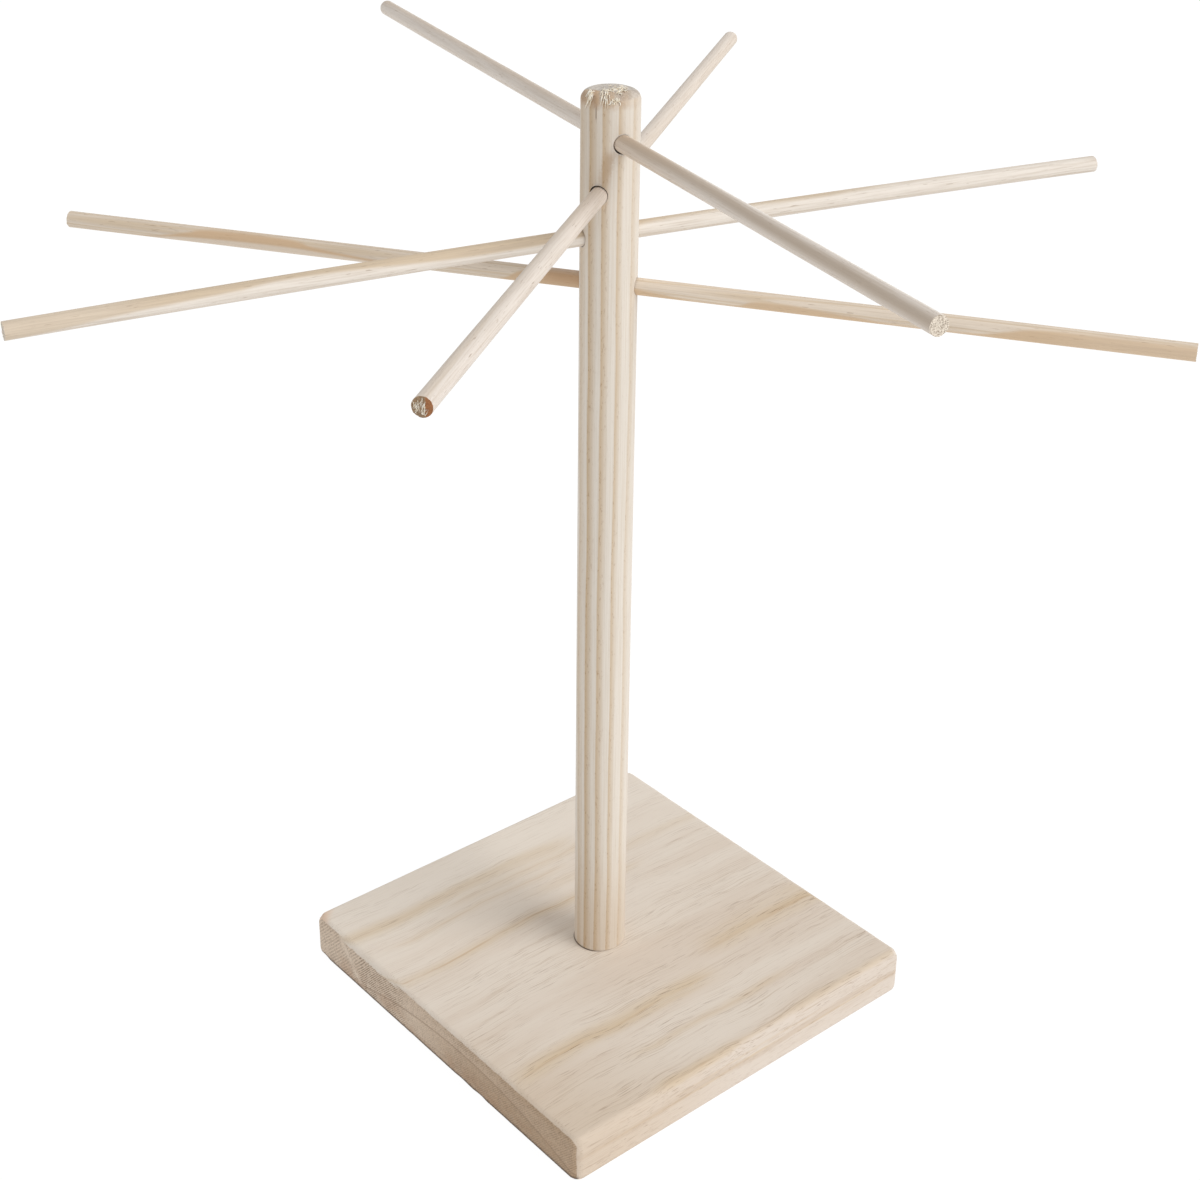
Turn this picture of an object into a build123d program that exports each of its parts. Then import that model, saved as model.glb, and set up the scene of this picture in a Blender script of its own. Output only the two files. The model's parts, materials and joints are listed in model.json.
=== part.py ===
"""Pasta drying rack: a round post on a square board, with four loose rods through the post.

Millimetres, +Z up. The origin is the middle of the board's underside, and the board's grain
runs along X. A screw driven up through the board holds the post. The rods cross the post one
above the other, each about an eighth of a turn from the next, and slide out of their bores.
"""
import os
from math import cos, radians, sin, tan

from build123d import *

# Board that the rack stands on
board_side = 212.5
board_thickness = 23.6
board_top_radius = 3.7
board_foot_radius = 1.4
board_corner_extra = 0.8

# Post, which stands a little off the middle of the board
post_diameter = 25.4
post_length = 437.5
post_top_radius = 4.0
post_crown = 1.0
post_shift_x = -4.3
post_shift_y = -0.3

# Rods, and the play of the bores that they slide through
rod_diameter = 7.6
rod_length = 510.0
bore_play = 0.8
rod_seat_gap = 0.05
top_bore_drop = 20.8
bore_stack = 65.0

# Each rod, from the top one down, in degrees. A turn is the heading of the rod's front end, a
# tilt is how far that end points up, and a gap turn is where the play of the bore shows beside
# it, clockwise from the top. A bore side is how far the bore passes to the right of the post's
# axis, a length extra is how much longer the rod was sawn, and a shift share is how far it is
# pushed through
rod_names = ["rod_top", "rod_upper", "rod_lower", "rod_bottom"]
bore_height_shares = [1.0, 0.664, 0.340, 0.0]
bore_sides = [-0.2, -1.8, -1.6, 1.6]
rod_turns = [-104.2, -144.4, 165.4, -57.1]
rod_tilts = [0.4, -0.3, -0.6, 0.0]
rod_gap_turns = [225.0, -20.0, 80.0, 0.0]
rod_length_extras = [0.0, 0.0, 2.2, 0.3]
rod_shift_shares = [-0.0243, -0.0321, -0.0030, -0.0145]

# Countersunk wood screw under the board. Its thread is drawn at the root
screw_head_diameter = 9.6
screw_head_rim = 0.4
screw_head_angle = 82.0
screw_shank_diameter = 4.8
screw_root_diameter = 3.2
screw_bite = 26.0
screw_point_length = 6.0
screw_head_sink = 0.8
screw_hole_play = 0.4
pilot_end_gap = 1.5

# Cuts run this far past what they cut
overrun = 1.0

os.makedirs("parts", exist_ok=True)

# Radii, and the heights on the post that follow from the sizes
post_radius = post_diameter / 2
rod_radius = rod_diameter / 2
bore_radius = (rod_diameter + bore_play) / 2
post_top = board_thickness + post_length
lowest_bore = post_top - top_bore_drop - bore_stack
post_axis = Axis((post_shift_x, post_shift_y, 0), (0, 0, 1))

# Half section of whatever is turned about the post's axis
section_plane = Plane(origin=post_axis.position, x_dir=(1, 0, 0), z_dir=(0, -1, 0))


def crossing_plane(height_share, side, turn, tilt=0.0):
    """Plane square to a bore or rod beside the post's axis: Z points out of its front end, Y up."""
    height = lowest_bore + bore_stack * height_share
    turn, tilt = radians(turn), radians(tilt)
    outward = (cos(tilt) * cos(turn), cos(tilt) * sin(turn), sin(tilt))
    rightward = Vector(-sin(turn), cos(turn), 0)
    middle = Vector(post_shift_x, post_shift_y, height) + rightward * side
    return Plane(origin=middle, x_dir=rightward, z_dir=outward)


# The board: rounded corners, a soft top edge, and a screw hole that is countersunk below
head_slope = tan(radians(screw_head_angle / 2))
sink_radius = screw_head_diameter / 2 + (screw_head_sink + screw_head_rim) * head_slope
with BuildPart() as board:
    with BuildSketch():
        Rectangle(board_side, board_side)
    extrude(amount=board_thickness)
    fillet(board.edges().filter_by(Axis.Z), board_top_radius + board_corner_extra)
    fillet(board.faces().sort_by(Axis.Z)[-1].edges(), board_top_radius)
    fillet(board.faces().sort_by(Axis.Z)[0].edges(), board_foot_radius)
    with Locations(Plane(origin=post_axis.position, z_dir=(0, 0, -1))):
        CounterSinkHole(
            radius=(screw_shank_diameter + screw_hole_play) / 2,
            counter_sink_radius=sink_radius,
            depth=board_thickness + overrun,
            counter_sink_angle=screw_head_angle,
        )
board.part.label = "base"
export_step(board.part, "parts/base.step")

# The post: a slightly crowned top with a rounded rim, a pilot hole in its foot, and a bore for
# each rod, cut square to the post right through it
crown_radius = (post_radius**2 + post_crown**2) / (2 * post_crown)
with BuildPart() as post:
    with BuildSketch(section_plane):
        with BuildLine():
            Polyline(
                (0, post_top),
                (0, board_thickness),
                (post_radius, board_thickness),
                (post_radius, post_top - post_crown),
            )
            RadiusArc((post_radius, post_top - post_crown), (0, post_top), -crown_radius)
        make_face()
    revolve(axis=post_axis)
    rim = post.edges().filter_by(Plane.XY).sort_by(Axis.Z)[-1]
    fillet(rim, post_top_radius)
    with Locations(Plane(origin=(post_shift_x, post_shift_y, board_thickness), z_dir=(0, 0, -1))):
        Hole(radius=screw_root_diameter / 2, depth=screw_bite + pilot_end_gap)
    for height_share, side, turn in zip(bore_height_shares, bore_sides, rod_turns):
        with BuildSketch(crossing_plane(height_share, side, turn)):
            Circle(bore_radius)
        extrude(amount=post_radius + overrun, both=True, mode=Mode.SUBTRACT)
post.part.label = "post"
export_step(post.part, "parts/post.step")

# The screw, from the face of its countersunk head up to its point in the post
head_height = (screw_head_diameter - screw_shank_diameter) / 2 / head_slope
head_top = screw_head_sink + screw_head_rim + head_height
thread_start = board_thickness - screw_shank_diameter
screw_tip = board_thickness + screw_bite
with BuildPart() as screw:
    with BuildSketch(section_plane):
        with BuildLine():
            Polyline(
                (0, screw_head_sink),
                (screw_head_diameter / 2, screw_head_sink),
                (screw_head_diameter / 2, screw_head_sink + screw_head_rim),
                (screw_shank_diameter / 2, head_top),
                (screw_shank_diameter / 2, thread_start),
                (screw_root_diameter / 2, thread_start + screw_shank_diameter - screw_root_diameter),
                (screw_root_diameter / 2, screw_tip - screw_point_length),
                (0, screw_tip),
                close=True,
            )
        make_face()
    revolve(axis=post_axis)
screw.part.label = "base_screw"
export_step(screw.part, "parts/base_screw.step")

# The rods: plain round dowels sawn square. Each is pushed through by its own amount, tips a
# little and leans against one side of its bore
for name, height_share, side, turn, tilt, gap_turn, length_extra, shift_share in zip(
    rod_names,
    bore_height_shares,
    bore_sides,
    rod_turns,
    rod_tilts,
    rod_gap_turns,
    rod_length_extras,
    rod_shift_shares,
):
    middle = crossing_plane(height_share, side, turn, tilt).offset(rod_length * shift_share)
    lean = bore_play / 2 - rod_seat_gap - post_radius * tan(radians(abs(tilt)))
    with BuildPart() as rod:
        with BuildSketch(middle):
            with Locations((-lean * sin(radians(gap_turn)), -lean * cos(radians(gap_turn)))):
                Circle(rod_radius)
        extrude(amount=(rod_length + length_extra) / 2, both=True)
    rod.part.label = name
    export_step(rod.part, f"parts/{name}.step")
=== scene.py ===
"""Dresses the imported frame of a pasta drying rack: a pine board, a striped post, four loose
rods, the screw below, the torn wood fibres, and the stage that shows them.

Metres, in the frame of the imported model: +Z up, and the board's grain along X. The materials
work in millimetres, because wood grain is easier to read so.
"""
import json
from collections import namedtuple
from functools import reduce
from math import atan2, cos, degrees, pi, radians, sin, sqrt, tan
from random import Random

import bmesh
import bpy
import numpy as np
from bpy.props import FloatProperty, FloatVectorProperty, IntProperty, PointerProperty
from mathutils import Euler, Matrix, Vector, noise


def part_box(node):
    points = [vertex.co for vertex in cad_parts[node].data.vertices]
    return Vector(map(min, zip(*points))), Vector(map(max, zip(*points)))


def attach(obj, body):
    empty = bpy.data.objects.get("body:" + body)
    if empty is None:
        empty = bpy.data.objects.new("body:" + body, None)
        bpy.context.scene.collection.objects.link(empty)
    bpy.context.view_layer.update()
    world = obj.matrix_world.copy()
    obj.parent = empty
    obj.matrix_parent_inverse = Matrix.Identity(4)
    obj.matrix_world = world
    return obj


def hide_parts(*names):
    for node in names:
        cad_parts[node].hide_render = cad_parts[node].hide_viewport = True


bl_info = {
    "name": "Pasta Drying Rack",
    "version": (1, 0, 0),
    "blender": (4, 5, 0),
    "location": "3D View > Sidebar > Drying Rack",
    "description": "Builds the wood, the screw and the stage of a pasta drying rack",
    "category": "Add Mesh",
}

MM = 0.001
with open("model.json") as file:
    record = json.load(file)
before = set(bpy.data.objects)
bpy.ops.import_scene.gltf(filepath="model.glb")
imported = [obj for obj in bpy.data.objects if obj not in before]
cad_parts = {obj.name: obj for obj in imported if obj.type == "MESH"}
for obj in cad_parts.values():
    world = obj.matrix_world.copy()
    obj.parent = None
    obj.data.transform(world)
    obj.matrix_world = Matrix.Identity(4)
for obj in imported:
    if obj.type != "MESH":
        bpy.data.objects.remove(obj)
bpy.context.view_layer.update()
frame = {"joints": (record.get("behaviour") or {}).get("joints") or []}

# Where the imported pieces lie
board_low, board_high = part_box("base")
post_low, post_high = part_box("post")
screw_low, screw_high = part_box("base_screw")
post_centre = (post_low + post_high) / 2
post_radius = (post_high.x - post_low.x) / 2
slides = {joint["child"]: Vector(joint["axis"]).normalized() for joint in frame["joints"]}


def rod_placement(name):
    """Centre, way to the front end, length and diameter of a rod, from its box and its slide."""
    low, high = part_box(name)
    way = slides[name]
    shares = [(abs(part), sqrt(1 - part * part)) for part in way]
    length, diameter = np.linalg.lstsq(np.array(shares), np.array(high - low), rcond=None)[0]
    return (low + high) / 2, way, float(length), float(diameter)


rod_diameter = rod_placement("rod_top")[3]


def paint(red, green, blue):
    """Colour of a surface from its values on a screen, 0 to 255."""
    shares = [value / 255 for value in (red, green, blue)]
    return tuple(s / 12.92 if s <= 0.04045 else ((s + 0.055) / 1.055) ** 2.4 for s in shares)


def colour_property(name, description, default):
    return FloatVectorProperty(
        name=name, description=description, subtype="COLOR", min=0, max=1, default=default
    )


def length_property(name, description, default_mm):
    return FloatProperty(
        name=name, description=description, unit="LENGTH", subtype="DISTANCE", precision=5,
        default=default_mm * MM,
    )


def angle_property(name, description, default):
    return FloatProperty(
        name=name, description=description, unit="ROTATION", subtype="ANGLE",
        default=radians(default),
    )


class RackBoardSettings(bpy.types.PropertyGroup):
    """Shape and colours of the board."""

    top_radius: length_property("Top Radius", "Rounding of the top edge", 3.7)
    foot_radius: length_property("Foot Radius", "Rounding of the bottom edge", 1.4)
    corner_radius: length_property("Corner Radius", "Rounding of the upright corners", 4.5)
    hole_radius: length_property("Hole Radius", "Screw hole through the board", 2.6)
    sink_radius: length_property("Countersink Radius", "Countersink at the underside", 5.84)
    sink_depth: length_property("Countersink Depth", "Height of the countersink", 3.73)
    edge_wear: length_property("Edge Wear", "Unevenness of the sanded edges", 0.35)
    corner_wear: length_property("Corner Wear", "How much the corners are sanded off", 0.9)
    saw_spacing: length_property("Saw Spacing", "Distance between saw marks", 1.0)
    ring_height: length_property("Ring Height", "Middle of the rings below the board", -263)
    ring_side: length_property("Ring Side", "Sideways place of the middle of the rings", -20)
    early: colour_property("Early Wood", "Pale wood between the rings", paint(231, 219, 205))
    late: colour_property("Late Wood", "Tan bands of the rings", paint(213, 188, 150))
    end: colour_property("End Grain", "Greyer wood across the grain", paint(226, 207, 186))
    # Points to the lit side. The dark ring round the post's foot is painted contact shadow, laid on the
    # other side only
    lit_side: FloatVectorProperty(
        name="Lit Side", description="Points away from the side where dirt gathers at the post",
        size=2, default=(0.756, -0.655),
    )


class RackPostSettings(bpy.types.PropertyGroup):
    """Shape and colours of the post."""

    rim_radius: length_property("Rim Radius", "Rounding of the upper rim", 4.0)
    crown: length_property("Crown", "Rise of the upper face", 1.0)
    pilot_radius: length_property("Pilot Radius", "Hole that the screw bites into", 1.6)
    pilot_depth: length_property("Pilot Depth", "Depth of that hole", 27.5)
    bore_drop: length_property("Bore Drop", "Top bore below the post's top", 20.8)
    bore_stack: length_property("Bore Stack", "Height from the lowest bore to the top one", 65)
    bore_play: length_property("Bore Play", "How much wider a bore is than its rod", 0.8)
    foot_break: length_property("Foot Break", "Broken edge round the post's foot", 0.45)
    torn_heading: angle_property("Torn Side", "Heading of the rim's torn side", -130.4)
    stripe_heading: angle_property("Stripe Heading", "Way across the stripes", -40.5)
    pith_distance: length_property("Pith Distance", "Middle of the rings from the post", 110)
    early: colour_property("Early Wood", "Cream wood between the stripes", paint(232, 223, 211))
    late: colour_property("Late Wood", "Tan stripes", paint(205, 179, 145))
    end: colour_property("End Grain", "Greyish wood of the upper face", paint(209, 200, 189))


class RackRodSettings(bpy.types.PropertyGroup):
    """Finish of the four rods."""

    waviness: length_property("Waviness", "Unevenness along a rod", 0.06)
    lower_bow: length_property("Bow", "Droop of the third rod's ends", 2.2)
    end_roughness: length_property("End Roughness", "Depth of the sawn ends' texture", 0.35)
    sides: IntProperty(name="Sides", description="Faces round a rod", default=64, min=12)
    steps: IntProperty(name="Steps", description="Faces along a rod", default=220, min=10)
    end_rings: IntProperty(name="End Rings", description="Rings on an end", default=12, min=2)
    top_wood: colour_property("Top Rod", "Wood of the top rod", paint(227, 217, 207))
    upper_wood: colour_property("Upper Rod", "Wood of the second rod", paint(233, 223, 213))
    lower_wood: colour_property("Lower Rod", "Wood of the third rod", paint(238, 229, 218))
    bottom_wood: colour_property("Bottom Rod", "Wood of the lowest rod", paint(226, 212, 195))
    late: colour_property("Late Wood", "Tan figure of the rods", paint(206, 183, 151))


class RackScrewSettings(bpy.types.PropertyGroup):
    """Sizes of the countersunk screw."""

    head_rim: length_property("Head Rim", "Straight rim of the head", 0.4)
    head_angle: angle_property("Head Angle", "Angle of the countersunk head", 82)
    shank_radius: length_property("Shank Radius", "Plain shank", 2.4)
    root_radius: length_property("Root Radius", "Root of the thread", 1.6)
    point_length: length_property("Point Length", "Tapered point", 6)
    pitch: length_property("Pitch", "Rise of one turn of the thread", 2.1)
    crest: length_property("Crest", "Height of the thread's ridge", 0.75)
    recess_depth: length_property("Recess Depth", "Depth of the cross in the head", 2.2)
    metal: colour_property("Zinc", "Plated steel", paint(196, 196, 192))


class RackFibreSettings(bpy.types.PropertyGroup):
    """Wood fibres that stand up where a tool tore them."""

    length: length_property("Length", "Length of a fibre", 4.2)
    width: length_property("Width", "Thickness of a fibre", 0.45)
    lift: length_property("Lift", "How far a fibre stands off the wood", 0.6)
    end_count: IntProperty(name="End Count", description="Fibres on a rod's end", default=34, min=1)
    end_reach: length_property("End Reach", "How far right on the end they grow", 1.1)
    end_length: length_property("End Length", "Length of a fibre on a rod's end", 2.1)
    end_width: length_property("End Width", "Thickness of a fibre on a rod's end", 0.26)
    pale: colour_property("Fibre", "Bleached fibre", paint(255, 249, 236))


class RackStageSettings(bpy.types.PropertyGroup):
    """Camera and light."""

    camera_place: FloatVectorProperty(
        name="Camera Place", description="Where the camera stands", unit="LENGTH",
        subtype="TRANSLATION", precision=6, default=(-0.54274, -0.633126, 0.679909),
    )
    azimuth: angle_property("Azimuth", "Heading of the view, from +Y", -40.8999)
    elevation: angle_property("Elevation", "How far the camera looks down", 26.2318)
    roll: angle_property("Roll", "Turn of the picture", -1.0106)
    lens: FloatProperty(name="Lens", description="Focal length", unit="CAMERA", default=60.991)
    shift_x: FloatProperty(name="Shift X", description="Sideways shift", default=-0.017979)
    shift_y: FloatProperty(name="Shift Y", description="Upward shift", default=-0.074315)
    key_strength: FloatProperty(name="Key", description="Strength of the main light", default=1.44)
    key_heading: angle_property("Key Heading", "Where the main light stands", -66)
    key_height: angle_property("Key Height", "How high the main light stands", 42)
    key_softness: angle_property("Key Softness", "Width of the main light", 38)
    fill: FloatProperty(name="Fill", description="Light from all round", default=0.628)
    fill_above: FloatProperty(name="Fill Above", description="Light from straight above", default=0.53)


class Wire:
    """Output of a node. Arithmetic with wires adds the nodes that work it out."""

    def __init__(self, writer, socket):
        self.writer = writer
        self.socket = socket

    def step(self, operation, *others):
        return self.writer.reckon(operation, self, *others)

    def __add__(self, other):
        return self.step("ADD", other)

    def __sub__(self, other):
        return self.step("SUBTRACT", other)

    def __rsub__(self, other):
        return self.writer.reckon("SUBTRACT", other, self)

    def __mul__(self, other):
        return self.step("MULTIPLY", other)

    def __truediv__(self, other):
        return self.step("DIVIDE", other)

    def __neg__(self):
        return self * -1.0

    def __abs__(self):
        return self.step("ABSOLUTE")

    def most(self, other):
        return self.step("MAXIMUM", other)

    def least(self, other):
        return self.step("MINIMUM", other)

    def root(self):
        return self.step("SQRT")

    def sine(self):
        return self.step("SINE")

    def cosine(self):
        return self.step("COSINE")

    def parts(self):
        """The three numbers of a vector."""
        return self.writer.outs("ShaderNodeSeparateXYZ", range(3), {0: self})

    def noise(self, scale, detail=2.0, roughness=0.5):
        """Noise at a place. Its scale is one number, or one for each way."""
        place, scale = (self * scale, 1.0) if isinstance(scale, tuple) else (self, scale)
        inputs = {"Vector": place, "Scale": scale, "Detail": detail, "Roughness": roughness}
        return self.writer.out("ShaderNodeTexNoise", inputs)

    def fade(self, low, high, start=0.0, end=1.0, kind="SMOOTHSTEP"):
        """Runs from start to end while the value runs from low to high."""
        inputs = {0: self, 1: low, 2: high, 3: start, 4: end}
        return self.writer.out("ShaderNodeMapRange", inputs, interpolation_type=kind)

    def ramp(self, stops):
        """Grey ramp through (place, shade) stops in rising order."""
        node = self.writer.add("ShaderNodeValToRGB", {0: self})
        elements = node.color_ramp.elements
        elements[0].position = stops[0][0]
        elements[1].position = stops[-1][0]
        for place, _ in stops[1:-1]:
            elements.new(place)
        for element, (_, shade) in zip(elements, stops):
            element.color = (shade, shade, shade, 1)
        return Wire(self.writer, node.outputs[0])

    def along(self, points):
        """Value that follows smoothly the (place, value) points, with places from 0 to 1."""
        low = min(value for _, value in points)
        rise = max(value for _, value in points) + 0.001 - low
        node = self.writer.add("ShaderNodeFloatCurve", {"Value": self})
        knots = node.mapping.curves[0].points
        scaled = [(place, (value - low) / rise) for place, value in points]
        knots[0].location, knots[1].location = scaled[0], scaled[-1]
        for place, height in scaled[1:-1]:
            knots.new(place, height)
        node.mapping.update()
        return Wire(self.writer, node.outputs[0]) * rise + low


class NodeWriter:
    """Adds nodes to a tree. Each input is a plain value or a wire from another node."""

    def __init__(self, tree):
        self.tree = tree

    def feed(self, node, inputs):
        for key, value in dict(inputs).items():
            if isinstance(value, Wire):
                self.tree.links.new(value.socket, node.inputs[key])
            else:
                node.inputs[key].default_value = value

    def add(self, kind, inputs=(), **settings):
        node = self.tree.nodes.new(kind)
        for name, value in settings.items():
            setattr(node, name, value)
        self.feed(node, inputs)
        return node

    def outs(self, kind, outputs, inputs=(), **settings):
        """New node, as wires from the outputs that are asked for."""
        node = self.add(kind, inputs, **settings)
        return [Wire(self, node.outputs[output]) for output in outputs]

    def out(self, kind, inputs=(), output=0, **settings):
        return self.outs(kind, [output], inputs, **settings)[0]

    def reckon(self, operation, *values):
        """One step of arithmetic, on vectors where one of the values is a vector."""
        kinds = [value.socket.type for value in values if isinstance(value, Wire)]
        if "VECTOR" in kinds or any(isinstance(value, tuple) for value in values):
            values = [(value,) * 3 if isinstance(value, (int, float)) else value for value in values]
            return self.out("ShaderNodeVectorMath", enumerate(values), operation=operation)
        return self.out("ShaderNodeMath", enumerate(values), operation=operation)

    def together(self, x, y, z):
        return self.out("ShaderNodeCombineXYZ", {0: x, 1: y, 2: z})

    def layers(self, ground, *coats):
        """Ground under coats, each its strength and its colour or height, with the top one last."""
        for share, coat in coats:
            ends = [part if isinstance(part, Wire) else (*part, 1) for part in (ground, coat)]
            inputs = {0: share, 6: ends[0], 7: ends[1]}
            ground = self.out("ShaderNodeMix", inputs, 2, data_type="RGBA", clamp_factor=True)
        return ground

    def place(self):
        return self.out("ShaderNodeTexCoord", output="Object")

    def end_grain(self):
        return self.out("ShaderNodeAttribute", output="Fac", attribute_name="end_grain")


def new_material(name):
    """Material with a Principled surface, and the writer for its nodes."""
    material = bpy.data.materials.new(name)
    material.use_nodes = True
    return material, NodeWriter(material.node_tree), material.node_tree.nodes["Principled BSDF"]


def from_axis(first, second):
    """Distance from the line where both values are nought."""
    return (first * first + second * second).root()


def turned(x, y, heading):
    """How far a place lies along a heading, and how far to the left of it."""
    return x * cos(heading) + y * sin(heading), y * cos(heading) - x * sin(heading)


def late_wood(distance, rings):
    """Share of late wood at a ring distance in mm. Rings are (outer edge, width, strength).

    Late wood thickens slowly towards a ring's outer edge and stops there at once."""
    edge_share = 0.13
    low = min(edge - width for edge, width, _ in rings) - 1
    high = max(edge for edge, _, _ in rings) + 1
    stops = [(0.0, 0.0)]
    for edge, width, strength in sorted(rings):
        for back, shade in ((width, 0), (width * edge_share, strength), (0, 0)):
            stops.append(((edge - back - low) / (high - low), shade))
    stops.append((1.0, 0.0))
    return distance.fade(low, high, kind="LINEAR").ramp(stops)


def finish_wood(writer, shader, colour, height, roughness, bump_height=0.12 * MM):
    """Joins colour, roughness and relief to a bare wood surface."""
    bump = writer.out("ShaderNodeBump", {"Strength": 0.55, "Distance": bump_height, "Height": height})
    writer.feed(shader, {
        "Base Color": colour, "Roughness": roughness, "Normal": bump, "Specular IOR Level": 0.28})


# Bands of the board's top. Each is where one growth ring comes up on one side of the middle:
# ring distance in mm, side of the middle, first and last place along the grain in mm, width and
# strength of its haze, strength of its thin line
board_bands = (
    (302.3, 1, -125, 45, 2.7, 0.50, 0.20),
    (299.8, 1, -60, 60, 2.0, 0.28, 0.20),
    (297.2, 1, -100, 30, 1.3, 0.25, 0.30),
    (294.6, 1, -20, 125, 1.4, 0.30, 0.10),
    (291.3, 1, -125, 62, 1.1, 0.45, 0.50),
    (289.0, -1, -112, 30, 1.2, 0.60, 0.25),
    (287.6, -1, 20, 125, 0.9, 0.60, 0.30),
    (292.6, -1, -60, 60, 0.9, 0.35, 0.10),
    (298.6, -1, -70, 125, 1.5, 0.55, 0.40),
)


def board_band(distance, across, along, ring, side, first, last, width, haze, line):
    """Haze and line of one band, each from 0 to 1."""
    soft = 26
    off = abs(distance - ring)
    here = along.fade(first, first + soft) * along.fade(last - soft, last, 1, 0)
    here *= across.fade(-4 * side, 4 * side)
    return off.fade(0, width, haze, 0) * here, off.fade(0.03, 0.16, line, 0) * here


def board_material(settings):
    """Flat-sawn pine: soft bands on the top, arched rings and saw marks on the sawn ends."""
    material, writer, shader = new_material("board pine, sanded")
    plain = writer.place() * (1 / MM)
    plain_x, plain_y, plain_z = plain.parts()

    # The grain waves a little along the board
    wave = plain.noise((0.032, 0.03, 0.03)) * 4.4 - 2.2
    wave += plain.noise((0.011, 0.008, 0.008), detail=1.0) * 12.0 - 6.0
    wave *= plain_x.fade(-104, -75, 0.2, 1)
    waved = plain + writer.together(0.0, wave, 0.0)
    x, y, z = waved.parts()

    # Distance from the pith, which wanders slowly
    across = y - settings.ring_side / MM
    wander = waved.noise((0.012, 0.012, 0.012)) * 1.4 - 0.7
    distance = from_axis(across, z - settings.ring_height / MM) + wander
    hazes, lines = zip(*(board_band(distance, across, x, *band) for band in board_bands))
    haze, line = reduce(Wire.most, hazes), reduce(Wire.most, lines)
    haze *= waved.noise((0.007, 0.16, 0.16)).fade(0.35, 0.60, 0.55, 1.0)
    line *= waved.noise((0.03, 0.12, 0.12), detail=3.0).fade(0.38, 0.58, 0.15, 1.0)

    # Fine streaks in clusters, and short dark pores that gather near the bands
    calm = plain_y.fade(-25, 60, 1, 0.55)
    clusters = waved.noise((0.012, 0.09, 0.09)).fade(0.36, 0.64, 0.20, 1.0).most(haze * 1.8)
    streaks = waved.noise((0.018, 1.7, 1.7), detail=3.0, roughness=0.65).fade(0.51, 0.66)
    streaks *= clusters * calm
    dashes = waved.noise((0.08, 2.4, 2.4), detail=1.5).fade(0.62, 0.69)
    dashes *= (haze * 1.4 + 0.25).most(clusters * 0.6) * calm
    side_face = plain_y.fade(-103.2, -105.6)
    side_band = abs(plain_z + wave - 13.3).fade(0.8, 2.8, 1, 0) * side_face

    # A painted contact shadow: a thin dark ring where the post meets the board, on the side away from the
    # light. And wear that browned one corner
    toward_light = plain_x * settings.lit_side[0] + plain_y * settings.lit_side[1]
    from_post = from_axis(plain_x - post_centre.x / MM, plain_y - post_centre.y / MM)
    joint = abs(from_post - post_radius / MM).fade(0.2, 0.7, 0.8, 0) * toward_light.fade(0, -8)
    joint *= plain_z.fade(21, 23)
    colour = writer.layers(
        settings.early,
        (waved.noise((0.006, 0.06, 0.06)).fade(0.35, 0.65), paint(224, 209, 193)),
        # Painted light: the top paler towards the back, where more light falls
        (plain_y.fade(-30, 100, 0, 0.6), paint(241, 231, 218)),
        # Painted shade: the long face at -Y darker, against the strong light that falls on it
        (side_face * 0.8, paint(221, 208, 195)),
        # Painted shade: the top darker towards the front corner, where less light falls
        ((x + y).fade(-100, -195, 0, 0.65), paint(213, 193, 170)),
        (haze, settings.late),
        (line, paint(196, 162, 120)),
        (side_band * 0.5, paint(203, 182, 160)),
        (streaks * 0.50, paint(189, 165, 138)),
        (dashes * 0.75, paint(146, 114, 84)),
        (joint, paint(92, 68, 46)),
        ((plain_y - plain_x).fade(198, 206, 0, 0.55), paint(226, 184, 150)),
    )

    # The sawn ends. A part of their rounded top edge is smooth
    uneven_edge = waved.noise((0.3, 0.5, 0.5))
    smooth_edge = (uneven_edge * 2.0 + z).fade(21.7, 22.4) * y.fade(30, 38) * y.fade(78, 86, 1, 0)
    end = (writer.end_grain() + uneven_edge * 0.3 - 0.15).fade(0.60, 0.80) * (1.0 - smooth_edge)

    # Arched rings, pores, stains, and the slanting teeth marks of the saw. They turn a little
    # towards the back, and a pale stripe without marks crosses them
    late = late_wood(distance, ((269.5, 2.5, 0.35), (280.2, 1.5, 0.90), (291.3, 1.5, 0.12)))
    inside = distance.fade(279.0, 280.2, 1, 0) * y.fade(15, -35)
    stripe = abs(y - 62.2 - z * 0.947).fade(1.4, 3.2, 1, 0)
    slant = y * 0.72 + z * 0.69
    slant -= (slant - 56.0).most(0.0) * 0.32
    turns = slant * (MM / settings.saw_spacing) + waved.noise((0.05, 0.05, 0.05)) * 1.2
    kept = waved.noise((0.05, 0.05, 0.09)).fade(0.30, 0.48, 0.4, 1)
    kept *= y.fade(22, 38, 0.2, 1) + y.fade(-5, -20, 0, 0.35)
    kept *= waved.noise(0.35).fade(0.36, 0.58, 0.35, 1) * y.fade(64, 72, 1, 0.5)
    saw = (turns * (2 * pi)).sine().fade(-0.6, 0.8) * kept * (1.0 - stripe)
    pores = waved.noise(1.4, detail=4.0, roughness=0.75)
    stain = waved.noise((0.06, 0.06, 0.12), detail=3.0).fade(0.42, 0.62) * z.fade(4, 15, 1, 0.1)
    # Painted contact shadow: the foot of the left sawn end painted dark brown, as if shaded where it
    # meets the floor
    foot = (uneven_edge * 1.6 + z).fade(2.2, 3.9, 0.85, 0) * plain_x.fade(-103.5, -104.8)
    end_colour = writer.layers(
        settings.end,
        # Painted shade: the sawn end darker towards the front, where less light reaches it
        (y.fade(70, -95), paint(196, 170, 142)),
        (stripe * 0.35, paint(232, 217, 199)),
        (inside * 0.40, paint(176, 148, 116)),
        (late * 0.75, paint(150, 122, 98)),
        (stain * 0.40, paint(182, 142, 108)),
        (pores.fade(0.44, 0.70, 0, 0.62), paint(136, 112, 90)),
        (saw * 0.85, paint(140, 115, 92)),
    )
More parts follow.
